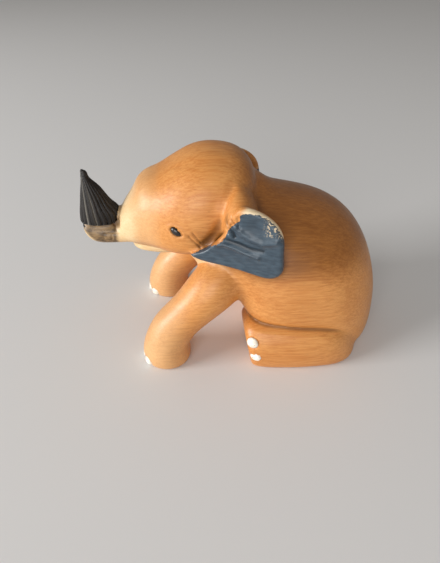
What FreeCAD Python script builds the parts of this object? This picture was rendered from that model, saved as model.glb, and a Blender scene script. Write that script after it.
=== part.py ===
import FreeCAD, Part
import math
import os

# Seated carved wooden elephant, about 150 mm long.  A torso block with a neck tenon carries a head
# block, four limbs, two ears and a tail, all glued and dowelled.  The trunk's dark tip is pinned to
# the head block, and the jaw, eyes and toenails are let in.
# Millimetres.  -X is where the elephant looks, -Y is its left side, +Z is up, and it sits on z = 0.

V = FreeCAD.Vector
OUT = "parts"

# ---- driving dimensions ----------------------------------------------------------------------------
RING_POINTS = 20
MIDDLE_X = -0.1            # middle of the overall length, which becomes x = 0

# Torso rings from the seat up to the neck tenon: x and z at the front, x and z at the back,
# half width, squareness of the front half and of the back half (2 is an ellipse)
TORSO = (
    (13.0, 0.0, 69.5, 0.0, 35.0, 4.0, 2.3),
    (11.0, 3.0, 72.6, 3.2, 37.8, 4.0, 2.2),
    (9.5, 9.0, 74.2, 11.0, 39.6, 4.0, 2.2),
    (5.5, 20.0, 73.8, 25.0, 40.6, 4.2, 2.2),
    (-1.4, 30.0, 71.2, 39.6, 40.6, 4.4, 2.2),
    (-7.0, 37.0, 65.0, 55.5, 39.2, 3.4, 2.1),
    (-16.0, 42.5, 54.0, 68.6, 36.4, 2.7, 2.1),
    (-23.5, 47.0, 40.0, 76.2, 32.8, 2.4, 2.0),
    (-27.5, 52.0, 26.0, 80.2, 28.0, 2.2, 2.0),
    (-29.5, 57.5, 16.0, 83.8, 22.5, 2.1, 2.0),
    (-32.0, 63.5, 10.0, 88.0, 17.5, 2.0, 2.0),
    (-34.0, 68.5, 2.0, 89.6, 13.5, 2.0, 2.0),
)

# Head rings from the nape to the face: x, top z, bottom z, half width, squareness,
# egg (how much narrower the top is)
HEAD = (
    (7.5, 89.0, 77.0, 8.0, 2.0, 0.0),
    (5.5, 94.0, 71.0, 14.5, 2.0, 0.0),
    (1.5, 98.6, 64.0, 20.0, 2.1, 0.02),
    (-4.5, 101.4, 57.5, 24.2, 2.2, 0.04),
    (-12.0, 102.4, 53.0, 26.8, 2.25, 0.06),
    (-20.5, 101.4, 51.0, 27.6, 2.3, 0.08),
    (-29.0, 97.6, 51.5, 26.4, 2.35, 0.10),
    (-37.5, 92.4, 53.5, 22.8, 2.4, 0.10),
    (-45.5, 88.9, 55.0, 18.2, 2.4, 0.08),
    (-50.5, 82.8, 55.2, 15.0, 2.4, 0.06),
    (-54.6, 76.8, 55.6, 12.2, 2.4, 0.03),
    (-58.0, 70.4, 56.4, 9.6, 2.3, 0.0),
)

# Trunk root rings from inside the face to the turned-up end: x, bottom z, half width
TIP_JOINT_Z = 66.0         # level glue face between the trunk's root and its dark tip
TRUNK_ROOT = (
    (-50.0, 56.2, 10.5),
    (-58.0, 55.4, 9.6),
    (-65.0, 55.0, 8.8),
    (-70.0, 55.4, 8.2),
    (-73.6, 57.2, 7.4),
    (-75.6, 60.0, 6.4),
    (-76.6, 63.0, 5.0),
)

# Trunk tip rings upwards from its glue face: z, front x, back x, half width
TRUNK_TIP = (
    (TIP_JOINT_Z, -78.3, -57.6, 7.6),
    (69.0, -78.0, -57.4, 7.5),
    (72.0, -77.6, -58.2, 7.1),
    (75.0, -77.0, -61.0, 6.3),
    (79.0, -76.3, -63.8, 5.2),
    (84.0, -75.3, -67.0, 3.8),
    (89.0, -74.5, -70.8, 1.9),
    (92.4, -74.2, -73.5, 0.5),
)

# Lower jaw rings from the throat to the lip: x, top z, bottom z, half width
JAW = (
    (-24.0, 60.0, 50.6, 13.0),
    (-32.0, 60.0, 49.4, 12.6),
    (-40.0, 58.8, 49.6, 11.6),
    (-47.0, 57.8, 50.4, 10.0),
    (-51.6, 57.0, 51.6, 7.6),
    (-53.4, 56.0, 52.8, 4.4),
)

# Left foreleg rings from the sole to the shoulder: centre, lean of the ring from level, radius
FORELEG = (
    (V(-38.4, -30.2, 0.0), 0, 11.0),
    (V(-38.7, -30.2, 2.5), 0, 12.0),
    (V(-38.8, -30.0, 8.0), 0, 12.0),
    (V(-36.8, -29.6, 15.0), 16, 11.1),
    (V(-31.6, -29.0, 22.6), 38, 10.6),
    (V(-24.8, -28.2, 29.6), 46, 10.8),
    (V(-17.6, -26.6, 36.8), 46, 12.0),
    (V(-10.8, -24.2, 42.8), 46, 12.6),
    (V(-4.6, -21.0, 48.2), 46, 11.6),
)
FOREFOOT_R = 12.0

# Left hind leg rings from the sole to the heel: x at the floor, top z, inside y, outside y
HIND_LEG = (
    (4.6, 20.0, -17.0, -40.4),
    (5.6, 23.0, -14.5, -42.8),
    (9.0, 25.0, -13.0, -44.6),
    (18.0, 25.8, -13.0, -46.0),
    (32.0, 25.8, -13.0, -46.6),
    (44.0, 25.0, -13.0, -45.8),
    (53.0, 22.8, -13.0, -42.8),
    (59.0, 19.6, -14.0, -36.6),
    (62.0, 16.0, -16.0, -29.0),
)
HIND_LEAN = 0.20           # how far a ring's top leans to the front, per mm of its height
UNDER_FLOOR = 6.0          # the rings reach this far below the floor, where the sole is cut flat

# Left ear: outline in its own plane as distances along the head and up, from EAR_CENTRE
EAR_OUTLINE = (
    (-26.0, -11.4), (-22.0, -13.0), (-14.0, -14.0), (-3.0, -15.4), (6.0, -17.2), (13.0, -17.4),
    (16.6, -14.6), (17.2, -6.0), (16.8, 2.0), (14.6, 8.4), (10.0, 13.0), (3.6, 16.0), (-3.4, 16.2),
    (-6.4, 10.0), (-11.0, 1.4), (-17.0, -5.2), (-22.6, -9.0),
)
EAR_CENTRE = V(0.0, -35.0, 71.2)
EAR_FLARE = 20.0           # the rear edge stands out from the neck by this many degrees
EAR_SPREAD = 3.0           # the top edge leans out from the head by this many degrees
EAR_THICK = 5.0
# Rings across the ear's thickness: share of the thickness, scale of the outline
EAR_EDGE = ((-0.5, 0.90), (-0.3, 0.98), (0.0, 1.0), (0.3, 0.985), (0.5, 0.92))
# Ear root rings from inside the leaf to inside the head: centre, half length, half height
EAR_ROOT = (
    (V(-1.5, -36.0, 77.6), 6.6, 8.6),
    (V(-2.0, -30.0, 78.0), 8.0, 10.2),
    (V(-3.6, -22.0, 78.6), 10.0, 12.0),
    (V(-5.4, -13.0, 79.0), 10.4, 12.2),
)

EYE_XZ = (-30.6, 71.8)
EYE_SIZE = (2.8, 1.5, 1.8)          # half lengths: along, into the head, across
EYE_DROOP = 38.0                    # the rear end hangs by this many degrees
EYE_SUNK = 0.75

FORE_NAIL_SIZE = (1.5, 2.9, 2.5)    # half lengths: into the foot, along its edge, up
FORE_NAIL_ANGLES = (-32.0, 5.0, 42.0)   # from straight ahead, positive towards the middle plane
FORE_NAIL_Z = 2.9
# Nails on the outside of the left hind foot: x, z, half lengths into the foot, along and up
HIND_NAILS = ((4.2, 17.0, 1.6, 3.1, 3.2), (6.0, 8.8, 1.6, 3.0, 2.4))
HIND_NAIL_TURN = 56.0               # from facing straight ahead, in degrees
NAIL_PROUD = 0.8                    # how far a nail's middle stands inside the skin

# Tail rings down the back of the rump: y, z, radius
TAIL = ((4.0, 29.0, 2.6), (5.6, 25.0, 2.4), (7.6, 20.5, 2.1), (9.8, 16.4, 2.2), (11.8, 12.6, 3.0),
        (13.2, 8.8, 3.7), (13.9, 4.8, 2.2))
TAIL_PROUD = 1.5
TAIL_TENON = 9.0

# Dowels: start, end, radius.  Those off the middle plane have a twin on the right side.
FORELEG_DOWEL = (V(-11.5, -24.6, 42.2), V(5.0, -16.0, 56.6), 3.0)
HIND_DOWELS = ((V(20.0, -26.0, 14.0), V(20.0, -4.0, 14.0), 3.0),
               (V(44.0, -26.0, 13.0), V(44.0, -4.0, 13.0), 3.0))
EAR_PIN = (V(-2.6, -34.0, 79.0), V(-5.4, -11.0, 80.0), 2.0)
NECK_DOWEL = (V(-2.0, 0.0, 58.0), V(-16.0, 0.0, 96.0), 4.0)
TIP_PIN = (V(-69.5, 0.0, 58.6), V(-71.0, 0.0, 77.0), 1.5)
JAW_PIN = (V(-36.0, 0.0, 51.6), V(-36.0, 0.0, 70.0), 1.5)


# ---- shape tools -----------------------------------------------------------------------------------
def smooth_wire(points):
    """Closed smooth wire through points."""
    curve = Part.BSplineCurve()
    curve.interpolate(Points=points, PeriodicFlag=True)
    return Part.Wire(curve.toShape())


def ring(centre, along, across, a, b, far_power=2.0, near_power=2.0, egg=0.0):
    """Closed wire: a superellipse a long and b wide.  far_power shapes its +along half, near_power
    the other, and egg narrows the +along end."""
    points = []
    for i in range(RING_POINTS):
        turn = 2 * math.pi * i / RING_POINTS
        c, s = math.cos(turn), math.sin(turn)
        power = far_power if c > 0 else near_power
        u = a * math.copysign(abs(c) ** (2 / power), c)
        w = b * math.copysign(abs(s) ** (2 / power), s) * (1 - egg * c)
        points.append(centre + along * u + across * w)
    return smooth_wire(points)


def upright_ring(x, top, bottom, half_width, power, egg=0.0):
    """Ring across the middle plane at x."""
    half = (top - bottom) / 2
    return ring(V(x, 0, bottom + half), V(0, 0, 1), V(0, 1, 0), half, half_width, power, power, egg)


def loft(rings):
    """Smooth solid through closed rings, with flat ends."""
    solid = Part.makeLoft(rings, True, False)
    if solid.Volume < 0:
        solid.reverse()
    return solid


def ellipsoid(half):
    ball = Part.makeSphere(1.0)
    stretch = FreeCAD.Matrix()
    stretch.scale(*half)
    return ball.transformGeometry(stretch)


def placed(shape, centre, axis, turn):
    """The shape turned about the origin, then moved to centre."""
    shape.rotate(V(0, 0, 0), axis, turn)
    shape.translate(centre)
    return shape


def mirrored(shape):
    return shape.mirror(V(0, 0, 0), V(0, 1, 0))


def rod(start, end, radius):
    return Part.makeCylinder(radius, (end - start).Length, start, end - start)


def main_solid(shape):
    return max(shape.Solids, key=lambda solid: solid.Volume)


def minus(shape, *tools):
    """The largest piece that is left when the tools are cut from the shape."""
    for tool in tools:
        shape = main_solid(shape.cut(tool))
    return shape


def both_sides(shapes):
    return list(shapes) + [mirrored(shape) for shape in shapes]


def left_skin(shape, x, z):
    """y of the shape's left skin at x, z."""
    line = Part.makeLine(V(x, -90, z), V(x, 0, z))
    return min(vertex.Y for vertex in line.common(shape).Vertexes)


def rear_skin(shape, y, z):
    """x of the shape's rear skin at y, z."""
    line = Part.makeLine(V(20, y, z), V(120, y, z))
    return max(vertex.X for vertex in line.common(shape).Vertexes)


# ---- carved blocks ---------------------------------------------------------------------------------
def make_torso():
    rings = []
    for front_x, front_z, back_x, back_z, half_width, front_power, back_power in TORSO:
        front, back = V(front_x, 0, front_z), V(back_x, 0, back_z)
        half = (back - front).Length / 2
        along = (back - front).normalize()
        middle = front + along * half
        rings.append(ring(middle, along, V(0, 1, 0), half, half_width, back_power, front_power))
    return loft(rings)


def make_head():
    skull = loft([upright_ring(*row) for row in HEAD])
    root = loft([upright_ring(x, TIP_JOINT_Z, bottom, w, 2.6) for x, bottom, w in TRUNK_ROOT])
    return main_solid(skull.fuse(root))


def make_trunk_tip():
    rings = []
    for z, front, back, half_width in TRUNK_TIP:
        centre = V((front + back) / 2, 0, z)
        rings.append(ring(centre, V(1, 0, 0), V(0, 1, 0), (back - front) / 2, half_width))
    return loft(rings)


def make_jaw():
    return loft([upright_ring(x, top, bottom, w, 2.2) for x, top, bottom, w in JAW])


def make_foreleg():
    rings = []
    for centre, lean, radius in FORELEG:
        tilt = math.radians(lean)
        along = V(math.cos(tilt), 0, -math.sin(tilt))
        rings.append(ring(centre, along, V(0, 1, 0), radius, radius))
    return loft(rings)


def make_hind_leg():
    lean = V(-HIND_LEAN, 0, 1).normalize()
    rings = []
    for x, top, inside, outside in HIND_LEG:
        half = (top + UNDER_FLOOR) / 2
        z = top - half
        centre = V(x - HIND_LEAN * z, (inside + outside) / 2, z)
        rings.append(ring(centre, lean, V(0, 1, 0), half, (inside - outside) / 2, 2.6, 2.6))
    floor = Part.makeBox(400, 400, 100, V(-200, -200, -100))
    return minus(loft(rings), floor)


def make_ear():
    flare, spread = math.radians(EAR_FLARE), math.radians(EAR_SPREAD)
    along = V(math.cos(flare), -math.sin(flare), 0)
    lean = V(-math.sin(flare), -math.cos(flare), 0) * math.sin(spread)
    up = lean + V(0, 0, math.cos(spread))
    outward = along.cross(up)
    rings = []
    for share, scale in EAR_EDGE:
        middle = EAR_CENTRE + outward * (EAR_THICK * share)
        outline = [middle + (along * a + up * b) * scale for a, b in EAR_OUTLINE]
        rings.append(smooth_wire(outline))
    leaf = loft(rings)
    root = loft([ring(middle, V(1, 0, 0), V(0, 0, 1), a, b) for middle, a, b in EAR_ROOT])
    return main_solid(leaf.fuse(root))


def make_tail(torso):
    centres = [V(rear_skin(torso, y, z) + TAIL_PROUD, y, z) for y, z, radius in TAIL]
    rings = []
    for i, centre in enumerate(centres):
        before, after = centres[max(i - 1, 0)], centres[min(i + 1, len(TAIL) - 1)]
        direction = (after - before).normalize()
        side = V(1, 0, 0).cross(direction).normalize()
        radius = TAIL[i][2]
        rings.append(ring(centre, side, direction.cross(side), radius, radius))
    root = centres[0] + V(0.6, 0.4, -1.6)
    tenon = rod(root, root - V(TAIL_TENON, 0, 0), 1.6)
    return main_solid(loft(rings).fuse(tenon)), tenon


# ---- inlays ----------------------------------------------------------------------------------------
def make_eye(head):
    x, z = EYE_XZ
    slope = (left_skin(head, x + 2, z) - left_skin(head, x - 2, z)) / 4
    eye = placed(ellipsoid(EYE_SIZE), V(0, 0, 0), V(0, 1, 0), EYE_DROOP)
    centre = V(x, left_skin(head, x, z) + EYE_SUNK, z)
    return placed(eye, centre, V(0, 0, 1), math.degrees(math.atan(slope)))


def make_fore_nails():
    nails = []
    foot = FORELEG[1][0]
    for angle in FORE_NAIL_ANGLES:
        turn = math.radians(angle)
        out = V(-math.cos(turn), math.sin(turn), 0)
        centre = V(foot.x, foot.y, FORE_NAIL_Z) + out * (FOREFOOT_R - NAIL_PROUD)
        nails.append(placed(ellipsoid(FORE_NAIL_SIZE), centre, V(0, 0, 1), -angle))
    return nails


def make_hind_nails(leg):
    nails = []
    for x, z, depth, length, height in HIND_NAILS:
        centre = V(x, left_skin(leg, x, z) + NAIL_PROUD, z)
        nails.append(placed(ellipsoid((depth, length, height)), centre, V(0, 0, 1), HIND_NAIL_TURN))
    return nails


def export(name, solids):
    """One STEP file for a node, moved so that the overall length is centred on x = 0."""
    moved = []
    for solid in solids:
        copy = solid.copy()
        copy.translate(V(-MIDDLE_X, 0, 0))
        moved.append(copy)
    shape = moved[0] if len(moved) == 1 else Part.makeCompound(moved)
    shape.exportStep(os.path.join(OUT, name + ".step"))
    box = shape.BoundBox
    print(f"{name}: {len(moved)} solid(s), {shape.Volume:.0f} mm3, {box}, valid {shape.isValid()}")


def main():
    os.makedirs(OUT, exist_ok=True)

    foreleg_dowels = both_sides([rod(*FORELEG_DOWEL)])
    hind_dowels = both_sides([rod(*dowel) for dowel in HIND_DOWELS])
    ear_pins = both_sides([rod(*EAR_PIN)])
    neck_dowel, tip_pin, jaw_pin = rod(*NECK_DOWEL), rod(*TIP_PIN), rod(*JAW_PIN)

    torso = make_torso()
    foreleg_blank = make_foreleg()
    hind_blank = make_hind_leg()
    tail, tenon = make_tail(torso)
    tail = main_solid(minus(tail, torso).fuse(tenon))
    skull = make_head()
    head = minus(skull, torso)
    eye = make_eye(head)
    jaw = minus(make_jaw(), head, torso, jaw_pin)
    tip = minus(make_trunk_tip(), head, tip_pin)
    ear = minus(make_ear(), head, torso, ear_pins[0])
    head = minus(head, eye, mirrored(eye), *ear_pins, neck_dowel, tip_pin, jaw_pin)
    torso = minus(torso, *both_sides([foreleg_blank, hind_blank]))
    torso = minus(torso, tenon, *foreleg_dowels, *hind_dowels, neck_dowel)
    fore_nails = make_fore_nails()
    foreleg = minus(foreleg_blank, foreleg_dowels[0], *fore_nails)
    hind_nails = make_hind_nails(hind_blank)
    hind_leg = minus(hind_blank, *hind_nails, *hind_dowels[:len(HIND_DOWELS)])

    export("torso", [torso])
    export("head", [head])
    export("lower_jaw", [jaw])
    export("trunk_tip", [tip])
    export("tail", [tail])
    export("front_leg_left", [foreleg])
    export("front_leg_right", [mirrored(foreleg)])
    export("hind_leg_left", [hind_leg])
    export("hind_leg_right", [mirrored(hind_leg)])
    export("ear_left", [ear])
    export("ear_right", [mirrored(ear)])
    export("eye_left", [eye])
    export("eye_right", [mirrored(eye)])
    export("toenails_front_left", fore_nails)
    export("toenails_front_right", [mirrored(nail) for nail in fore_nails])
    export("toenails_hind_left", hind_nails)
    export("toenails_hind_right", [mirrored(nail) for nail in hind_nails])
    export("neck_dowel", [neck_dowel])
    export("front_leg_dowels", foreleg_dowels)
    export("hind_leg_dowels", hind_dowels)
    export("ear_pins", ear_pins)
    export("trunk_tip_pin", [tip_pin])
    export("jaw_pin", [jaw_pin])


main()
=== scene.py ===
import math

import bpy
import numpy as np
import openvdb
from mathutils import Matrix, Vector


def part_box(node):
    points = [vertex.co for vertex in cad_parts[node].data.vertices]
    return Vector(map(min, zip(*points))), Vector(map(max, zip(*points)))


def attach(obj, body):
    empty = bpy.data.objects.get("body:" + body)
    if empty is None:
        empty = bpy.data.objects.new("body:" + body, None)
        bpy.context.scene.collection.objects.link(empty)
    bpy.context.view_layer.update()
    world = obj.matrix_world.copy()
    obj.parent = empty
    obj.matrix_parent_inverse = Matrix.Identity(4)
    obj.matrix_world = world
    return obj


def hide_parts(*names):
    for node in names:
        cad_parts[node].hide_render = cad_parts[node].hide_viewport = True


# Looks of the seated wooden elephant.  Every carved block is a field of signed distances, in
# millimetres, made from its CAD solid: the blocks are blended into each other, carved with strokes,
# and cut apart again along their glue faces into one closed mesh each.
# -X is where the elephant looks, -Y is its left side, +Z is up.  Both sides are carved alike.

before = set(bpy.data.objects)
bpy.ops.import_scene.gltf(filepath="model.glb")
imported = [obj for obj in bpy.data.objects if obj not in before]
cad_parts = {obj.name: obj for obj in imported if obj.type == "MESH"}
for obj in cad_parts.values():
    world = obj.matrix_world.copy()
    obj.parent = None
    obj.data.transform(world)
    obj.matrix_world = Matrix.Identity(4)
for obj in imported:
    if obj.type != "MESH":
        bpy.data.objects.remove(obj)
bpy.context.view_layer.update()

MM = 0.001

# Millimetres from here on, up to the stage
BAND = 3.6                  # distances are true up to here
SETTLE = 1.0                # how far the blend smooths the facets of the CAD meshes
NAIL_SETTLE = 0.25          # the same for a toenail
HEAD_BLEND = 2.0            # fillet between torso and head
INLAY_BLEND = 0.4           # fillet between the skin and an eye, nail or dowel
SEAM_OVERLAP = 0.8          # how far a block reaches under its neighbour's skin
SEAM_SINK = 0.12            # how fast it sinks there
HOLLOW_REACH = 1.8          # a hollow is where the skin lies under its own average over this reach
HOLLOW_FULL = 0.5           # and this is how far under it counts as fully hollow

# Voxel sizes
TORSO_VOXEL = 0.66
LIMB_VOXEL = 0.55
HEAD_VOXEL = 0.45
EAR_VOXEL = 0.33
FINE_VOXEL = 0.25
NAIL_VOXEL = 0.16

TIP_FOOT, TIP_TOP = 66.2, 92.4      # heights of the trunk tip's glue face and point
TIP_MIDDLE, TIP_LEAN = -67.7, 6.0   # x of its middle at the glue face, and how far its point leans on
TIP_NARROW = 0.85                   # its width over its length
JAW_SHADOW = (55.4, 57.0)             # painted shadow under the head's edge starts and is full at these heights on the jaw's side

SKIN_NODES = ("torso", "head", "lower_jaw", "tail", "front_leg_left", "front_leg_right",
              "hind_leg_left", "hind_leg_right", "ear_left", "ear_right", "trunk_tip")
INLAY_NODES = ("eye_left", "eye_right", "toenails_front_left", "toenails_front_right",
               "toenails_hind_left", "toenails_hind_right", "neck_dowel", "front_leg_dowels",
               "hind_leg_dowels", "ear_pins", "trunk_tip_pin", "jaw_pin")

# The left ear's own plane: along it to the rear, up it, and out of it
EAR_CENTRE = np.array((0.1, -35.0, 71.2))
EAR_ALONG = np.array((0.940, -0.342, 0.0))
EAR_UP = np.array((-0.018, -0.049, 0.9986))
EAR_OUT = np.array((-0.342, -0.938, -0.052))
EAR_PAINT = ((-26.6, -11.0), (-24.0, -13.8), (-14.0, -15.0), (-3.0, -16.6), (6.0, -18.4), (13.0, -18.6),
             (17.8, -15.6), (19.0, -6.0), (18.6, 2.0), (16.4, 6.6), (13.2, 10.4), (9.8, 13.0),
             (5.4, 14.9), (1.2, 15.5), (-2.2, 14.3), (-2.6, 10.8), (-5.4, 8.9), (-7.4, 6.1),
             (-8.8, 2.3), (-10.3, -0.1), (-12.7, -2.1), (-16.9, -5.0), (-20.8, -7.9))


# ---- fields ----------------------------------------------------------------------------------------
level_sets = {}             # by node and voxel size, because neighbours share them


def node_mesh(name):
    """Points in millimetres and triangles of a CAD node."""
    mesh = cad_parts[name].data
    points = np.empty(len(mesh.vertices) * 3, np.float32)
    mesh.vertices.foreach_get("co", points)
    mesh.calc_loop_triangles()
    corners = np.empty(len(mesh.loop_triangles) * 3, np.int32)
    mesh.loop_triangles.foreach_get("vertices", corners)
    return points.reshape(-1, 3) / MM, corners.reshape(-1, 3).astype(np.uint32)


def node_box(name):
    low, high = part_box(name)
    return np.array(low) / MM, np.array(high) / MM


def smoothstep(low, high, values):
    t = np.clip((values - low) / (high - low), 0.0, 1.0)
    return t * t * (3.0 - 2.0 * t)


def smooth_min(a, b, width):
    """The nearer of two distances, with a fillet of about this width between them."""
    blend = np.maximum(width - np.abs(a - b), 0.0) / width
    return np.minimum(a, b) - blend * blend * (width / 4.0)


def spot(a, b, centre, radii):
    """A soft round spot in a plane: 1 at its centre, falling to 0 around it."""
    return np.exp(-((a - centre[0]) / radii[0]) ** 2 - ((b - centre[1]) / radii[1]) ** 2)


def line_distance(points, x, y, z):
    """Distance from x, y, z to the broken line through points."""
    nearest = None
    for start, end in zip(points[:-1], points[1:]):
        start, end = np.array(start, float), np.array(end, float)
        run = end - start
        dx, dy, dz = x - start[0], y - start[1], z - start[2]
        t = np.clip((dx * run[0] + dy * run[1] + dz * run[2]) / run.dot(run), 0.0, 1.0)
        gap = np.sqrt((dx - t * run[0]) ** 2 + (dy - t * run[1]) ** 2 + (dz - t * run[2]) ** 2)
        nearest = gap if nearest is None else np.minimum(nearest, gap)
    return nearest


def outline_distance(outline, a, b):
    """Signed distance in a plane from a, b to a closed outline, negative inside."""
    nearest = np.full(a.shape, 1e6)
    inside = np.zeros(a.shape, bool)
    for (a0, b0), (a1, b1) in zip(outline, outline[1:] + outline[:1]):
        run_a, run_b = a1 - a0, b1 - b0
        t = np.clip(((a - a0) * run_a + (b - b0) * run_b) / (run_a ** 2 + run_b ** 2), 0.0, 1.0)
        nearest = np.minimum(nearest, np.hypot(a - a0 - t * run_a, b - b0 - t * run_b))
        crosses = (b0 > b) != (b1 > b)
        inside ^= crosses & (a < a0 + (b - b0) * run_a / (run_b if run_b else 1e-9))
    return np.where(inside, -nearest, nearest)


class Field:
    """A regular grid of points around a node, where distances are worked out."""

    def __init__(self, node, voxel, margin=3.0):
        low, high = node_box(node)
        low, high = low - margin, high + margin
        self.voxel = voxel
        self.start = np.floor(low / voxel).astype(int)
        self.corner = tuple(int(i) for i in self.start)
        self.shape = tuple(int(n) for n in np.ceil(high / voxel).astype(int) - self.start + 1)
        steps = [first + np.arange(count) for first, count in zip(self.start, self.shape)]
        self.x, self.y, self.z = np.ix_(*[(step * voxel).astype(np.float32) for step in steps])
        self.low, self.high = low, high

    def holds(self, name):
        low, high = node_box(name)
        return bool(np.all(low < self.high + BAND) and np.all(high > self.low - BAND))

    def distance(self, name):
        """Signed distances to a CAD node's skin."""
        key = (name, self.voxel)
        if key not in level_sets:
            points, triangles = node_mesh(name)
            level_sets[key] = openvdb.FloatGrid.createLevelSetFromPolygons(
                points, triangles=triangles, halfWidth=BAND / self.voxel,
                transform=openvdb.createLinearTransform(voxelSize=self.voxel))
        values = np.empty(self.shape, np.float32)
        level_sets[key].copyToArray(values, ijk=self.corner)
        return np.clip(values, -BAND, BAND)

    def smooth(self, values, sigma):
        """Values blurred by a Gaussian of sigma millimetres."""
        sigma = sigma / self.voxel
        reach = math.ceil(2.5 * sigma)
        weights = np.exp(-0.5 * (np.arange(-reach, reach + 1) / sigma) ** 2)
        weights /= weights.sum()
        for axis in range(3):
            padding = [(0, 0)] * 3
            padding[axis] = (reach, reach)
            padded = np.pad(values, padding, mode="edge")
            values = np.zeros(self.shape, np.float32)
            for step, weight in enumerate(weights):
                shifted = [slice(None)] * 3
                shifted[axis] = slice(step, step + self.shape[axis])
                values += np.float32(weight) * padded[tuple(shifted)]
        return values

    def at(self, values, points):
        """Values read off at points in millimetres, between the grid's own points."""
        place = points / self.voxel - self.start
        base = np.clip(np.floor(place).astype(int), 0, np.array(self.shape) - 2)
        part = np.clip(place - base, 0.0, 1.0)
        total = np.zeros(len(points))
        for corner in range(8):
            step = np.array((corner & 1, corner >> 1 & 1, corner >> 2 & 1))
            weight = np.prod(np.where(step == 1, part, 1.0 - part), axis=1)
            i, j, k = (base + step).T
            total += weight * values[i, j, k]
        return total

    def mesh(self, name, values):
        """Closed mesh of the skin where values are zero."""
        grid = openvdb.FloatGrid(BAND)
        grid.copyFromArray(np.ascontiguousarray(values, np.float32), ijk=self.corner)
        grid.transform = openvdb.createLinearTransform(voxelSize=self.voxel)
        points, _, quads = grid.convertToPolygons(isovalue=0.0, adaptivity=0.0)
        mesh = bpy.data.meshes.new(name)
        mesh.vertices.add(len(points))
        mesh.vertices.foreach_set("co", (points * MM).astype(np.float32).ravel())
        mesh.loops.add(quads.size)
        mesh.loops.foreach_set("vertex_index", quads[:, ::-1].astype(np.int32).ravel())
        mesh.polygons.add(len(quads))
        mesh.polygons.foreach_set("loop_start", np.arange(0, quads.size, 4, dtype=np.int32))
        mesh.polygons.foreach_set("use_smooth", np.ones(len(quads), bool))
        mesh.update(calc_edges=True)
        return mesh


# ---- carving tools ---------------------------------------------------------------------------------
def noise(x, y, z, size, seed):
    """Smooth noise from -1 to 1 with bumps about this many millimetres across."""
    lattice = np.random.default_rng(seed).uniform(-1.0, 1.0, (32, 32, 32)).astype(np.float32)
    total = 0.0
    cells, parts = [], []
    for values in (x, y, z):
        place = values / size + 1000.0
        cell = np.floor(place).astype(int)
        part = place - cell
        cells.append(cell)
        parts.append(part * part * (3.0 - 2.0 * part))
    for corner in range(8):
        step = (corner & 1, corner >> 1 & 1, corner >> 2 & 1)
        weight = 1.0
        for part, far in zip(parts, step):
            weight = weight * (part if far else 1.0 - part)
        i, j, k = ((cell + far) & 31 for cell, far in zip(cells, step))
        total = total + weight * lattice[i, j, k]
    return total


def window(field, low, high):
    """The part of a field's grid between two corners, both sides of the middle plane, or None."""
    outer = max(abs(low[1]), abs(high[1]))
    low, high = (low[0], -outer, low[2]), (high[0], outer, high[2])
    slices = []
    for i in range(3):
        first = max(math.floor(low[i] / field.voxel) - field.start[i], 0)
        last = min(math.ceil(high[i] / field.voxel) - field.start[i] + 1, field.shape[i])
        if first >= last:
            return None
        slices.append(slice(int(first), int(last)))
    return tuple(slices)


def local(field, part):
    """x, distance out from the middle plane, and z over a window."""
    return field.x[part[0]], np.abs(field.y[:, part[1]]), field.z[:, :, part[2]]


STROKE_REACH = 2.6          # in widths: beyond it a stroke no longer shows
FURTHEST_OUT = 60.0         # nothing on the figure lies further from the middle plane


def carve_line(field, values, points, width, depth):
    """Carves a groove along points of x, out and z, or raises a ridge where depth is negative."""
    reach = STROKE_REACH * width
    part = window(field, np.min(points, axis=0) - reach, np.max(points, axis=0) + reach)
    if part:
        gap = line_distance(points, *local(field, part))
        values[part] += depth * np.exp(-(gap / width) ** 2)


def carve_side(field, values, points, width, depth, out, fade=0.0):
    """The same as seen from the side: points are of x and z, on whatever lies further out than out.
    The stroke's ends fade over this many millimetres."""
    reach = STROKE_REACH * width
    xs, zs = zip(*points)
    front, rear = min(xs), max(xs)
    low, high = (front - reach, 0, min(zs) - reach), (rear + reach, FURTHEST_OUT, max(zs) + reach)
    part = window(field, low, high)
    if part:
        x, far, z = local(field, part)
        gap = line_distance([(px, 0.0, pz) for px, pz in points], x, 0.0, z)
        weight = smoothstep(out - 1.0, out + 1.0, far)
        if fade:
            weight = weight * smoothstep(front, front + fade, x) * smoothstep(rear, rear - fade, x)
        values[part] += depth * weight * np.exp(-(gap / width) ** 2)


# ---- carved detail ---------------------------------------------------------------------------------
# Eye rims: the box they lie in, x and z, half lengths, and how far the rear end hangs
EYE_BOX = ((-37, 20, 66), (-24, 32, 78))
EYE_AT = (-30.5, 71.8)
EYE_HALF = (2.75, 1.8)
EYE_DROOP = math.radians(38.0)

# Strokes seen from the side, as points of x and z
WRINKLES = (((-24.9, 70.1), (-22.6, 67.0), (-19.9, 63.6)), ((-23.2, 71.9), (-21.4, 69.2), (-19.6, 65.8)))
LEDGE = ((-2.0, 25.6), (9.0, 25.2), (17.5, 24.7), (27.0, 23.7), (37.0, 22.6), (45.0, 21.0), (54.0, 18.0))
LEDGE_ROLL = 2.6            # the rounded edge of the hind leg lies this far under the ledge
CUP_CRACKS = (((-66.1, 62.0), (-62.2, 62.1), (-58.8, 62.2)), ((-62.3, 61.6), (-62.6, 59.2)),
              ((-61.5, 66.2), (-60.7, 65.2), (-60.0, 63.6)), ((-66.6, 60.6), (-66.2, 59.6)))

# Strokes as points of x, distance out and z
BROW = ((-47.0, 0.0, 85.6), (-45.5, 9.0, 83.5))
TEMPLE = ((-30.0, 10.0, 95.6), (-18.0, 13.4, 98.6), (-4.0, 13.4, 97.6))
CREASE = ((-4.0, 33.5, 33.0), (1.0, 37.0, 35.5), (6.0, 39.6, 37.4))
EAR_GROOVE = ((-5.0, 23.4, 91.5), (-8.2, 27.0, 86.5), (-9.6, 29.0, 81.0), (-11.2, 28.6, 76.0),
              (-13.6, 27.6, 70.6), (-17.5, 26.6, 66.0))

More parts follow.
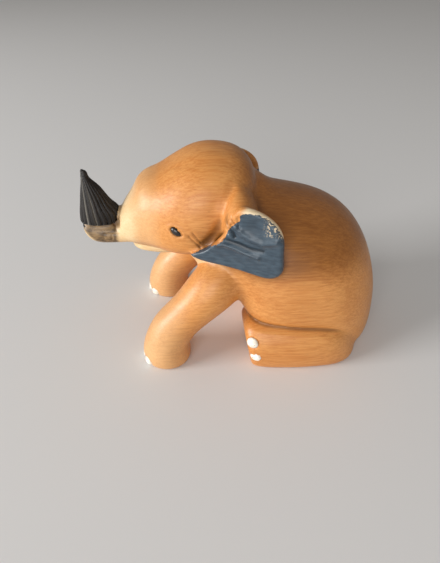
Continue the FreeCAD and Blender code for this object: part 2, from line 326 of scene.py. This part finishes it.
# Spots: centre and radii, on an ear along it and up it, at the temple in x and z
EAR_LOBE = ((5.0, 9.6), (7.0, 3.6))
EAR_FOLD_DARK = ((-8.5, 9.0), (2.6, 4.5))
# the temple spot is painted shade before the ear
TEMPLE_SHADE = ((-15.0, 67.0), (7.0, 7.0))

# The box that the ears lie in, and strokes on them: points along the ear and up it, width and depth
EAR_BOX = ((-26, 15, 50), (24, 48, 94))
EAR_STROKES = (
    (((-3.9, 7.7), (-0.8, 5.1), (2.3, 3.1), (7.7, 1.5), (13.5, 3.0)), 1.5, -1.0),
    (((-12.0, -1.9), (-9.2, -1.4), (-5.2, -2.4), (-1.5, -3.8), (2.1, -5.0), (6.0, -6.2)), 1.1, -1.0),
    (((-9.0, 9.0), (-6.4, 7.2)), 0.5, 0.6),
    (((-9.4, 6.2), (-7.2, 4.6)), 0.5, 0.6),
    (((-6.4, 12.4), (-4.4, 9.8)), 0.5, 0.6),
    (((-8.6, 0.6), (-5.0, 0.2), (-1.6, -0.9), (2.2, -2.2), (8.0, -2.6)), 1.2, 0.75),
    (((-6.2, 8.6), (-5.4, 5.6), (-4.6, 3.0)), 0.7, 0.9),
    (((-3.2, 12.0), (-2.8, 8.0)), 0.8, 0.6),
    (((-15.0, -8.0), (-4.0, -10.5), (8.0, -12.0)), 2.8, 0.35),
)


def ear_plane(x, out, z):
    """Places on an ear: along it, up it and out of its face."""
    dx, dy, dz = x - EAR_CENTRE[0], -out - EAR_CENTRE[1], z - EAR_CENTRE[2]
    return tuple(dx * axis[0] + dy * axis[1] + dz * axis[2] for axis in (EAR_ALONG, EAR_UP, EAR_OUT))


def carve_eye_rim(field, values):
    """A groove close around each eye and a soft swelling around that."""
    part = window(field, *EYE_BOX)
    if part:
        x, far, z = local(field, part)
        dx, dz = x - EYE_AT[0], z - EYE_AT[1]
        u = dx * math.cos(EYE_DROOP) - dz * math.sin(EYE_DROOP)
        v = dx * math.sin(EYE_DROOP) + dz * math.cos(EYE_DROOP)
        ring = np.sqrt((u / EYE_HALF[0]) ** 2 + (v / EYE_HALF[1]) ** 2)
        relief = 0.4 * np.exp(-((ring - 1.05) / 0.16) ** 2) - 0.22 * np.exp(-((ring - 1.5) / 0.28) ** 2)
        values[part] += relief * smoothstep(15.0, 17.0, far)


def carve_ear(field, values):
    """Folds, creases and the chipped rim of the ears' outer faces."""
    part = window(field, *EAR_BOX)
    if part is None:
        return
    a, b, n = ear_plane(*local(field, part))
    relief = 0.0
    for points, width, depth in EAR_STROKES:
        flat = [(pa, pb, 0.0) for pa, pb in points]
        relief = relief + depth * np.exp(-(line_distance(flat, a, b, 0.0) / width) ** 2)
    # the hollow of the upper lobe, and chips along its rear edge
    relief = relief + 1.1 * spot(a, b, *EAR_LOBE)
    edge = outline_distance(EAR_PAINT, a, b)
    rim = np.exp(-((edge - 0.2) / 1.1) ** 2) * smoothstep(6.0, 11.0, a) * smoothstep(1.0, 5.0, b)
    x, far, z = local(field, part)
    chips = smoothstep(0.05, 0.5, noise(x, far, z, 1.3, 5))
    relief = relief + 0.55 * rim * chips
    values[part] += relief * smoothstep(0.4, 1.8, n)


def carve_details(field, values):
    """All strokes that are carved into the blended body."""
    # eyes and the wrinkles behind them
    carve_eye_rim(field, values)
    for wrinkle in WRINKLES:
        carve_side(field, values, wrinkle, width=0.5, depth=0.55, out=18.0)
    # brow, the shallow valley over the temple and the groove before the ear
    carve_line(field, values, BROW, width=3.2, depth=-0.7)
    carve_line(field, values, TEMPLE, width=2.6, depth=0.25)
    carve_line(field, values, EAR_GROOVE, width=1.9, depth=1.2)
    # the ledge over the hind leg and the crease behind the foreleg
    carve_side(field, values, LEDGE, width=1.1, depth=0.45, out=30.0, fade=12.0)
    roll = [(x, z - LEDGE_ROLL) for x, z in LEDGE]
    carve_side(field, values, roll, width=1.4, depth=-0.4, out=30.0, fade=12.0)
    carve_line(field, values, CREASE, width=0.9, depth=0.9)
    # cracks and the chip in the trunk's end
    for crack in CUP_CRACKS:
        carve_side(field, values, crack, width=0.45, depth=0.4, out=3.0)
    carve_ear(field, values)


def tip_rise(z):
    """Height on the trunk's tip, from 0 at its glue face to 1 at its point."""
    return np.clip((z - TIP_FOOT) / (TIP_TOP - TIP_FOOT), 0.0, 1.0)


def tip_turn(x, y, rise):
    """Angle around the tip's leaning middle line, from the rear towards the right side."""
    middle = TIP_MIDDLE - TIP_LEAN * rise ** 1.3
    return np.arctan2(y, (x - middle) * TIP_NARROW)


def tip_highlights(x, y, z):
    """Two painted highlights up the tip, light caught on its ridges, on its left and right sides alike.
    """
    rise = tip_rise(z)
    turn = np.abs(tip_turn(x, y, rise))
    first = np.exp(-((turn - 2.2) / 0.07) ** 2)
    second = np.exp(-((turn - 1.72) / 0.06) ** 2)
    return first + 0.8 * second * smoothstep(0.8, 0.5, rise)


def carve_tip_grooves(field, values):
    """Lengthwise grooves of the trunk's tip, which meet at its point."""
    part = window(field, (-80, 0, TIP_FOOT), (-55, 10, TIP_TOP + 2))
    if part:
        x, y, z = field.x[part[0]], field.y[:, part[1]], field.z[:, :, part[2]]
        rise = tip_rise(z)
        turn = tip_turn(x, y, rise)
        waver = 0.5 * noise(x, y, z * 0.35, 3.0, 11)
        coarse = np.abs(np.sin(11.0 * turn + waver))
        fine = np.abs(np.sin(26.0 * turn + 1.0 + 2.0 * waver))
        depth = 0.7 * (1.0 - coarse) ** 2 + 0.2 * (1.0 - fine)
        values[part] += depth * (1.0 - 0.6 * rise) * smoothstep(0.0, 0.6, z - TIP_FOOT)


# ---- the blended body ------------------------------------------------------------------------------
class Body:
    """The distances of all blocks near a node, and their blend."""

    # Fillet between each block and the blocks before it
    BLEND = {"lower_jaw": 0.6, "tail": 1.2, "front_leg_left": 3.2, "front_leg_right": 3.2,
             "hind_leg_left": 1.2, "hind_leg_right": 1.2, "ear_left": 2.2, "ear_right": 2.2,
             "trunk_tip": 0.3}

    def __init__(self, node, voxel, settle):
        self.field = Field(node, voxel)
        self.parts = {name: self.field.distance(name) for name in SKIN_NODES if self.field.holds(name)}
        self.inlays = [self.field.distance(name) for name in INLAY_NODES if self.field.holds(name)]
        whole = smooth_min(self.part("torso"), self.part("head"), HEAD_BLEND)
        for name, width in self.BLEND.items():
            if name in self.parts:
                whole = smooth_min(whole, self.parts[name], width)
        for hole in self.inlays:
            whole = smooth_min(whole, hole, INLAY_BLEND)
        self.whole = self.field.smooth(whole, settle)
        carve_details(self.field, self.whole)
        self.whole = np.maximum(self.whole, -self.field.z)

    def part(self, name):
        far = np.full(self.field.shape, BAND, np.float32)
        return self.parts.get(name, far)

    def piece(self, name):
        """The share of the whole that belongs to one block."""
        mine = self.parts[name]
        others = [values for other, values in self.parts.items() if other != name]
        own = (mine - np.minimum.reduce(others)) / 2.0
        beyond = np.maximum(own, 0.0)
        share = np.maximum(self.whole + SEAM_SINK * beyond * beyond, own - SEAM_OVERLAP)
        for hole in self.inlays:
            share = np.maximum(share, -hole)
        return share


def mesh_places(mesh):
    points = np.empty(len(mesh.vertices) * 3, np.float32)
    mesh.vertices.foreach_get("co", points)
    return points.reshape(-1, 3) / MM


def keep(mesh, name, values):
    """Keeps one number per vertex for the materials."""
    layer = mesh.attributes.new(name, "FLOAT", "POINT")
    layer.data.foreach_set("value", np.asarray(values, np.float32))


def show(mesh, node, material):
    """Shows a mesh in place of a CAD node."""
    piece = bpy.data.objects.new("carved_" + node, mesh)
    bpy.context.collection.objects.link(piece)
    mesh.materials.append(material)
    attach(piece, "root")
    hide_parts(node)


def painted_shade_amount(node, x, out, z):
    """How much painted shade there is: over the back, where the head and ears shadow it, on the nape and
    before the ear.
    """
    if node in ("head", "ear_left", "ear_right"):
        # painted shade on the head's rear, which faces away from the window, and before the ear
        temple = spot(x, z, *TEMPLE_SHADE)
        return np.maximum(smoothstep(-6.0, 6.0, x) * smoothstep(39.0, 34.0, out), 0.9 * temple)
    # painted shade over the back, where the head and ears shadow it
    return smoothstep(44.0, 60.0, z) * smoothstep(-8.0, 6.0, x)


def pale_amount(node, x):
    """How pale the wood is: cream on the face and trunk, a little on the chest and forelegs; partly
    paler wood, partly painted light on the fronts that face the low window.
    """
    if node in ("front_leg_left", "front_leg_right"):
        return 0.4 * smoothstep(-20.0, -44.0, x)
    if node == "torso":
        return 0.6 * smoothstep(-2.0, -20.0, x)
    return 0.35 * smoothstep(-34.0, -46.0, x) + 0.65 * smoothstep(-46.0, -55.0, x)


def weather_amount(node, x, z):
    """How grey-brown the bare wood of the trunk's end is."""
    if node != "head":
        return np.zeros(len(x))
    return smoothstep(-58.6, -61.0, x) * smoothstep(-78.0, -75.0, x + 0.9 * (z - 64.0))


def ear_fold_darkening(x, out, z):
    """Darker in the fold where an ear's root meets its paint."""
    a, b, _ = ear_plane(x, out, z)
    return spot(a, b, *EAR_FOLD_DARK) * (0.75 + 0.35 * noise(x, out, z, 1.6, 8))


def keep_ear(mesh, x, out, z):
    """Keeps where an ear is painted, where the paint is chipped and where bare wood is cream."""
    a, b, n = ear_plane(x, out, z)
    edge = outline_distance(EAR_PAINT, a, b)
    behind = -2.6 + 3.6 * smoothstep(2.0, 6.0, b)
    keep(mesh, "paint_edge", np.maximum(edge, behind - n))
    keep(mesh, "rim", smoothstep(7.0, 11.0, a) * smoothstep(1.0, 5.0, b))
    keep(mesh, "cream", smoothstep(-3.0, 0.0, a) * smoothstep(2.0, 6.0, b))


def keep_looks(mesh, node, body):
    """Keeps what the materials need to know about each point of a block's skin."""
    points = mesh_places(mesh)
    x, y, z = points.T
    out = np.abs(y)
    # hollows are darkened in the materials, as dirt and painted shade alike
    wide = body.field.smooth(body.whole, HOLLOW_REACH)
    hollow = np.clip(-body.field.at(wide - body.whole, points) / HOLLOW_FULL, -1.0, 1.0)
    # painted shadow along the top of the jaw, under the head's edge
    if node == "lower_jaw":
        hollow = np.maximum(hollow, smoothstep(*JAW_SHADOW, z))
    # the fold at an ear's root is darker too
    if node.startswith("ear"):
        hollow = np.maximum(hollow, ear_fold_darkening(x, out, z))
        keep_ear(mesh, x, out, z)
    if node == "trunk_tip":
        # painted highlights up the tip's ridges
        keep(mesh, "painted_highlight", tip_highlights(x, y, z))
    keep(mesh, "hollow", hollow)
    keep(mesh, "painted_shade", painted_shade_amount(node, x, out, z))
    keep(mesh, "pale", pale_amount(node, x))
    keep(mesh, "weather", weather_amount(node, x, z))


def carve_block(node, voxel, material, settle=SETTLE, more=None):
    """Shows a block's share of the blended body.  More carves further strokes into it."""
    body = Body(node, voxel, settle)
    if more:
        more(body.field, body.whole)
    mesh = body.field.mesh(node, body.piece(node))
    keep_looks(mesh, node, body)
    show(mesh, node, material)


def carve_nails(node, material):
    """Raised toenails with the soft unevenness of thick paint."""
    field = Field(node, NAIL_VOXEL, margin=1.0)
    values = field.smooth(field.distance(node), NAIL_SETTLE)
    x, y, z = field.x, field.y, field.z
    values += 0.13 * noise(x, y, z, 1.4, 21) + 0.05 * noise(x, y, z, 0.6, 22)
    show(field.mesh(node, np.maximum(values, -field.z)), node, material)


# ---- materials -------------------------------------------------------------------------------------
COAT_ROUGHNESS = 0.3


def srgb(red, green, blue):
    """Linear colour from display values of 0 to 255."""
    return tuple(((v / 255.0 + 0.055) / 1.055) ** 2.4 for v in (red, green, blue)) + (1.0,)


class Nodes:
    """A material's node tree with short ways to add to it."""

    def __init__(self, name):
        self.material = bpy.data.materials.new(name)
        self.material.use_nodes = True
        self.tree = self.material.node_tree
        self.shader = self.tree.nodes["Principled BSDF"]
        place = self.tree.nodes.new("ShaderNodeTexCoord")
        self.place = self.scaled(place.outputs["Object"], (1 / MM, 1 / MM, 1 / MM))

    def link(self, value, socket):
        if isinstance(value, bpy.types.NodeSocket):
            self.tree.links.new(value, socket)
        else:
            socket.default_value = value

    def scaled(self, vector, scale):
        node = self.tree.nodes.new("ShaderNodeVectorMath")
        node.operation = "MULTIPLY"
        self.link(vector, node.inputs[0])
        node.inputs[1].default_value = scale
        return node.outputs[0]

    def math(self, operation, a, b=0.0, c=0.0, clamp=False):
        node = self.tree.nodes.new("ShaderNodeMath")
        node.operation = operation
        node.use_clamp = clamp
        for value, socket in zip((a, b, c), node.inputs):
            self.link(value, socket)
        return node.outputs[0]

    def ramp(self, value, low, high, to_low=0.0, to_high=1.0):
        node = self.tree.nodes.new("ShaderNodeMapRange")
        node.interpolation_type = "SMOOTHSTEP"
        for socket, given in zip(node.inputs, (value, low, high, to_low, to_high)):
            self.link(given, socket)
        return node.outputs[0]

    def noise(self, scale, detail=3.0, roughness=0.55):
        """Noise whose bumps are 1 / scale millimetres along x, y and z."""
        node = self.tree.nodes.new("ShaderNodeTexNoise")
        self.link(self.scaled(self.place, scale), node.inputs["Vector"])
        node.inputs["Scale"].default_value = 1.0
        node.inputs["Detail"].default_value = detail
        node.inputs["Roughness"].default_value = roughness
        return node.outputs[0]

    def attribute(self, name):
        node = self.tree.nodes.new("ShaderNodeAttribute")
        node.attribute_name = name
        return node.outputs["Fac"]

    def mix(self, factor, a, b):
        node = self.tree.nodes.new("ShaderNodeMix")
        node.data_type = "RGBA"
        self.link(factor, node.inputs[0])
        self.link(a, node.inputs[6])
        self.link(b, node.inputs[7])
        return node.outputs[2]

    def bump(self, height, distance, strength=1.0, normal=None):
        node = self.tree.nodes.new("ShaderNodeBump")
        node.inputs["Strength"].default_value = strength
        node.inputs["Distance"].default_value = distance * MM
        self.link(height, node.inputs["Height"])
        if normal is not None:
            self.link(normal, node.inputs["Normal"])
        return node.outputs[0]

    def finish(self, colour, roughness, normal, coat=0.0, specular=0.5):
        self.link(colour, self.shader.inputs["Base Color"])
        self.link(roughness, self.shader.inputs["Roughness"])
        self.link(normal, self.shader.inputs["Normal"])
        self.shader.inputs["Coat Weight"].default_value = coat
        self.shader.inputs["Coat Roughness"].default_value = COAT_ROUGHNESS
        self.shader.inputs["Specular IOR Level"].default_value = specular
        return self.material


# A colour with a deep partner is mixed with it along the grain or the strokes
ORANGE, DEEP_ORANGE = srgb(224, 158, 88), srgb(190, 114, 46)
CREAM, DEEP_CREAM = srgb(232, 206, 162), srgb(218, 178, 124)
# the deeper orange of painted shade over the back, the nape and before the ear
SHADED_ORANGE, DEEP_SHADED_ORANGE = srgb(176, 112, 46), srgb(140, 82, 26)
TAN, DEEP_TAN = srgb(140, 112, 76), srgb(88, 68, 44)
RIM, DEEP_RIM = srgb(240, 222, 188), srgb(212, 176, 130)
BIRCH, DEEP_BIRCH = srgb(226, 196, 150), srgb(204, 166, 112)
# the first darkens pores, and hollows as dirt and painted shade; the second is the jaw's painted shadow
GRIME_AND_SHADE, JAW_SHADE_AND_GRIME = srgb(84, 48, 14), srgb(110, 78, 40)
TIP_LIGHT, TIP_DARK = srgb(46, 38, 32), srgb(20, 15, 12)
# the first is painted highlight on the tip's ridges, the second dirt and painted shade in its grooves
TIP_HIGHLIGHT, TIP_GRIME_AND_SHADE = srgb(112, 106, 96), srgb(16, 12, 10)
SLATE, DEEP_SLATE, SLATE_GRIME_AND_SHADE = srgb(68, 84, 96), srgb(50, 64, 76), srgb(24, 30, 36)
ENAMEL, DEEP_ENAMEL, ENAMEL_CHIP = srgb(246, 242, 232), srgb(226, 216, 196), srgb(176, 138, 92)
EYE_BLACK, EYE_BROWN = srgb(14, 11, 10), srgb(38, 28, 22)


def wood_grain(n):
    """Grain along x: streaks, fibres, pores and broad clouds, each from 0 to 1."""
    streaks = n.ramp(n.noise((0.05, 1.1, 1.1), 4.0, 0.6), 0.34, 0.68)
    fibres = n.ramp(n.noise((0.12, 3.2, 3.2), 2.0), 0.35, 0.7)
    pores = n.ramp(n.noise((0.35, 5.0, 5.0), 1.0), 0.66, 0.74)
    clouds = n.ramp(n.noise((0.03, 0.07, 0.07), 2.0), 0.3, 0.7)
    return streaks, fibres, pores, clouds


def stained_colour(n):
    """Orange stained wood: cream towards the front, partly paler wood and partly painted light; deeper
    orange where painted shade lies; grey-brown where weathered; darker in hollows, as dirt and painted
    shade.
    """
    streaks, fibres, pores, clouds = wood_grain(n)
    figure = n.math("MULTIPLY_ADD", streaks, 0.45, n.math("MULTIPLY", fibres, 0.25))
    figure = n.math("MULTIPLY_ADD", clouds, 0.3, figure)
    body = n.mix(figure, ORANGE, DEEP_ORANGE)
    light = n.mix(figure, CREAM, DEEP_CREAM)
    # painted shade: the deeper orange where the head and ears shadow the back
    dark = n.mix(figure, SHADED_ORANGE, DEEP_SHADED_ORANGE)
    ragged = n.math("MULTIPLY_ADD", streaks, 0.1, -0.05)
    # cream towards the front: partly paler wood, partly painted light
    pale = n.math("ADD", n.attribute("pale"), ragged, clamp=True)
    pale = n.math("MULTIPLY", pale, n.ramp(n.attribute("pale"), 0.0, 0.15))
    # how much painted shade lies here
    painted_shade = n.math("ADD", n.attribute("painted_shade"), ragged, clamp=True)
    painted_shade = n.math("MULTIPLY", painted_shade, n.ramp(n.attribute("painted_shade"), 0.0, 0.1))
    colour = n.mix(painted_shade, n.mix(pale, body, light), dark)
    grime = n.ramp(n.noise((0.22, 0.5, 0.5), 3.0, 0.6), 0.36, 0.62)
    colour = n.mix(n.attribute("weather"), colour, n.mix(grime, DEEP_TAN, TAN))
    # dirt and painted shade in the hollows
    dirt_and_shade = n.ramp(n.attribute("hollow"), 0.25, 1.0, 0.0, 0.65)
    colour = n.mix(dirt_and_shade, colour, GRIME_AND_SHADE)
    colour = n.mix(n.math("MULTIPLY", pores, 0.25), colour, GRIME_AND_SHADE)
    return colour, figure, pores


def wood_bump(n, figure, pores):
    """The grain's fine relief on the soft waves that the carving tool left."""
    grooves = n.math("MULTIPLY_ADD", pores, -0.7, figure)
    tool = n.noise((0.10, 0.28, 0.28), 1.0)
    return n.bump(grooves, 0.06, 0.6, n.bump(tool, 0.5, 0.35))


def stained_wood():
    n = Nodes("stained_wood")
    colour, figure, pores = stained_colour(n)
    roughness = n.ramp(n.noise((0.05, 0.3, 0.3), 3.0), 0.2, 0.8, 0.38, 0.50)
    return n.finish(colour, roughness, wood_bump(n, figure, pores), coat=0.15)


def pale_wood():
    n = Nodes("pale_wood")
    streaks, fibres, pores, _ = wood_grain(n)
    figure = n.math("MULTIPLY_ADD", streaks, 0.6, n.math("MULTIPLY", fibres, 0.35))
    colour = n.mix(figure, CREAM, DEEP_CREAM)
    # the jaw's painted shadow under the head, and dirt and shade in its hollows
    dirt_and_shade = n.ramp(n.attribute("hollow"), 0.1, 0.9, 0.0, 0.7)
    colour = n.mix(dirt_and_shade, colour, JAW_SHADE_AND_GRIME)
    roughness = n.ramp(fibres, 0.0, 1.0, 0.45, 0.58)
    return n.finish(colour, roughness, wood_bump(n, figure, pores), coat=0.05)


def dark_wood():
    """Black-brown wood with its grain upright and two painted highlights up its ridges."""
    n = Nodes("dark_wood")
    lines = n.noise((1.4, 1.4, 0.10), 4.0, 0.6)
    colour = n.mix(n.ramp(lines, 0.46, 0.72), TIP_DARK, TIP_LIGHT)
    # two painted highlights where light catches the tip's ridges
    painted_highlight = n.math("MULTIPLY", n.attribute("painted_highlight"), 0.85, clamp=True)
    colour = n.mix(painted_highlight, colour, TIP_HIGHLIGHT)
    # dirt and painted shade in the tip's grooves
    dirt_and_shade = n.ramp(n.attribute("hollow"), 0.0, 0.5, 0.0, 0.8)
    colour = n.mix(dirt_and_shade, colour, TIP_GRIME_AND_SHADE)
    roughness = n.ramp(lines, 0.3, 0.7, 0.42, 0.6)
    return n.finish(colour, roughness, n.bump(lines, 0.25, 0.7), coat=0.05, specular=0.4)


def ear_paint():
    """Slate paint over the same wood, worn off in chips along the edge."""
    n = Nodes("ear_paint")
    wood, figure, pores = stained_colour(n)
    edge = n.attribute("paint_edge")
    ragged = n.math("SUBTRACT", n.noise((0.9, 0.9, 0.9), 3.0, 0.6), 0.5)
    worn = n.math("MULTIPLY_ADD", ragged, 1.3, edge)
    speckles = n.ramp(n.noise((1.2, 1.2, 1.2), 2.0), 0.52, 0.58)
    near = n.math("MULTIPLY", n.ramp(edge, -2.2, -0.2), n.attribute("rim"))
    chips = n.math("MULTIPLY", speckles, near)
    cover = n.math("SUBTRACT", n.ramp(worn, -0.10, 0.10, 1.0, 0.0), chips, clamp=True)
    strokes = n.noise((0.16, 0.5, 0.9), 3.0, 0.6)
    paint = n.mix(n.ramp(strokes, 0.3, 0.7), DEEP_SLATE, SLATE)
    # dirt and painted shade in the paint's hollows
    paint = n.mix(n.ramp(n.attribute("hollow"), 0.1, 0.8, 0.0, 0.75), paint, SLATE_GRIME_AND_SHADE)
    band = n.math("MULTIPLY", n.ramp(edge, 0.8, 2.2, 1.0, 0.0), n.attribute("cream"))
    bare = n.mix(band, wood, n.mix(figure, RIM, DEEP_RIM))
    colour = n.mix(cover, bare, paint)
    film = n.bump(cover, 0.12, 0.8, n.bump(strokes, 0.2, 0.5, wood_bump(n, figure, pores)))
    return n.finish(colour, n.ramp(cover, 0.0, 1.0, 0.5, 0.33), film, coat=0.12)


def nail_paint():
    """Off-white enamel, chipped through to the wood in specks."""
    n = Nodes("nail_paint")
    wear = n.noise((0.8, 0.8, 0.8), 4.0, 0.6)
    chips = n.ramp(wear, 0.63, 0.67)
    yellowed = n.ramp(n.noise((0.3, 0.3, 0.3), 2.0), 0.3, 0.7)
    colour = n.mix(chips, n.mix(yellowed, ENAMEL, DEEP_ENAMEL), ENAMEL_CHIP)
    roughness = n.ramp(wear, 0.3, 0.7, 0.3, 0.5)
    return n.finish(colour, roughness, n.bump(wear, 0.15, 0.6), coat=0.15)


def eye_gloss():
    n = Nodes("eye_gloss")
    cloud = n.noise((0.6, 0.6, 0.6), 3.0)
    colour = n.mix(n.ramp(cloud, 0.3, 0.7), EYE_BLACK, EYE_BROWN)
    roughness = n.ramp(cloud, 0.3, 0.7, 0.12, 0.26)
    return n.finish(colour, roughness, n.bump(cloud, 0.05, 0.5), coat=0.4)


def dowel_wood():
    n = Nodes("dowel_wood")
    _, fibres, pores, _ = wood_grain(n)
    roughness = n.ramp(fibres, 0.0, 1.0, 0.55, 0.7)
    return n.finish(n.mix(fibres, BIRCH, DEEP_BIRCH), roughness, wood_bump(n, fibres, pores))


def build():
    """Every block, the toenails, and materials for what stays as it is."""
    wood, cream, dark, paint = stained_wood(), pale_wood(), dark_wood(), ear_paint()
    nail, eye, dowel = nail_paint(), eye_gloss(), dowel_wood()
    carve_block("torso", TORSO_VOXEL, wood)
    carve_block("head", HEAD_VOXEL, wood)
    carve_block("lower_jaw", EAR_VOXEL, cream)
    carve_block("tail", EAR_VOXEL, wood, settle=0.5)
    carve_block("trunk_tip", FINE_VOXEL, dark, settle=0.35, more=carve_tip_grooves)
    for side in ("left", "right"):
        carve_block("front_leg_" + side, LIMB_VOXEL, wood)
        carve_block("hind_leg_" + side, LIMB_VOXEL, wood)
        carve_block("ear_" + side, EAR_VOXEL, paint, settle=0.6)
        carve_nails("toenails_front_" + side, nail)
        carve_nails("toenails_hind_" + side, nail)
    # the eyes, dowels and pins stay as CAD nodes
    for node in INLAY_NODES:
        if not node.startswith("toenails"):
            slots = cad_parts[node].data.materials
            slots.clear()
            slots.append(eye if node.startswith("eye") else dowel)


# ---- stage, in metres ------------------------------------------------------------------------------
CAMERA_PLACE = Vector((-0.02365, -0.21058, 0.178))
CAMERA_LOOK = Vector((0.0564, 0.8070, -0.5878))
CAMERA_LENS = 30.05
SENSOR = 36.0

FLOOR_HALF = 3.0
FLOOR_COLOUR = (0.78, 0.77, 0.76, 1)
SKY_COLOUR, SKY_STRENGTH = (1.0, 0.97, 0.93, 1), 0.27
LIT_SPOT = (0, 0, 0.04)
# Square lamps: place, side and power
WINDOW = ((-1.88, -0.50, 0.62), 0.9, 37.0)
FILL = ((-0.5, -1.7, 0.7), 1.2, 17.0)


def add_camera():
    data = bpy.data.cameras.new("camera")
    data.lens = CAMERA_LENS
    data.sensor_width = SENSOR
    data.clip_start = 0.01
    camera = bpy.data.objects.new("camera", data)
    bpy.context.collection.objects.link(camera)
    camera.location = CAMERA_PLACE
    camera.rotation_euler = CAMERA_LOOK.to_track_quat("-Z", "Y").to_euler()
    bpy.context.scene.camera = camera


def add_lamp(name, place, side, power):
    data = bpy.data.lights.new(name, "AREA")
    data.size = side
    data.energy = power
    lamp = bpy.data.objects.new(name, data)
    bpy.context.collection.objects.link(lamp)
    lamp.location = place
    lamp.rotation_euler = (Vector(LIT_SPOT) - Vector(place)).to_track_quat("-Z", "Y").to_euler()


def add_floor():
    mesh = bpy.data.meshes.new("floor")
    quarters = ((-1, -1), (1, -1), (1, 1), (-1, 1))
    corners = [(x * FLOOR_HALF, y * FLOOR_HALF, 0) for x, y in quarters]
    mesh.from_pydata(corners, [], [(0, 1, 2, 3)])
    floor = bpy.data.objects.new("floor", mesh)
    bpy.context.collection.objects.link(floor)
    material = bpy.data.materials.new("floor")
    material.use_nodes = True
    shader = material.node_tree.nodes["Principled BSDF"]
    shader.inputs["Base Color"].default_value = FLOOR_COLOUR
    shader.inputs["Roughness"].default_value = 0.8
    mesh.materials.append(material)


def add_light():
    """A low soft window in front of the elephant, a weak fill from its left and an even sky."""
    world = bpy.data.worlds.new("studio")
    world.use_nodes = True
    background = world.node_tree.nodes["Background"]
    background.inputs["Color"].default_value = SKY_COLOUR
    background.inputs["Strength"].default_value = SKY_STRENGTH
    bpy.context.scene.world = world
    add_lamp("window", *WINDOW)
    add_lamp("fill", *FILL)


build()
add_floor()
add_light()
add_camera()
bpy.context.scene.view_settings.view_transform = "Standard"
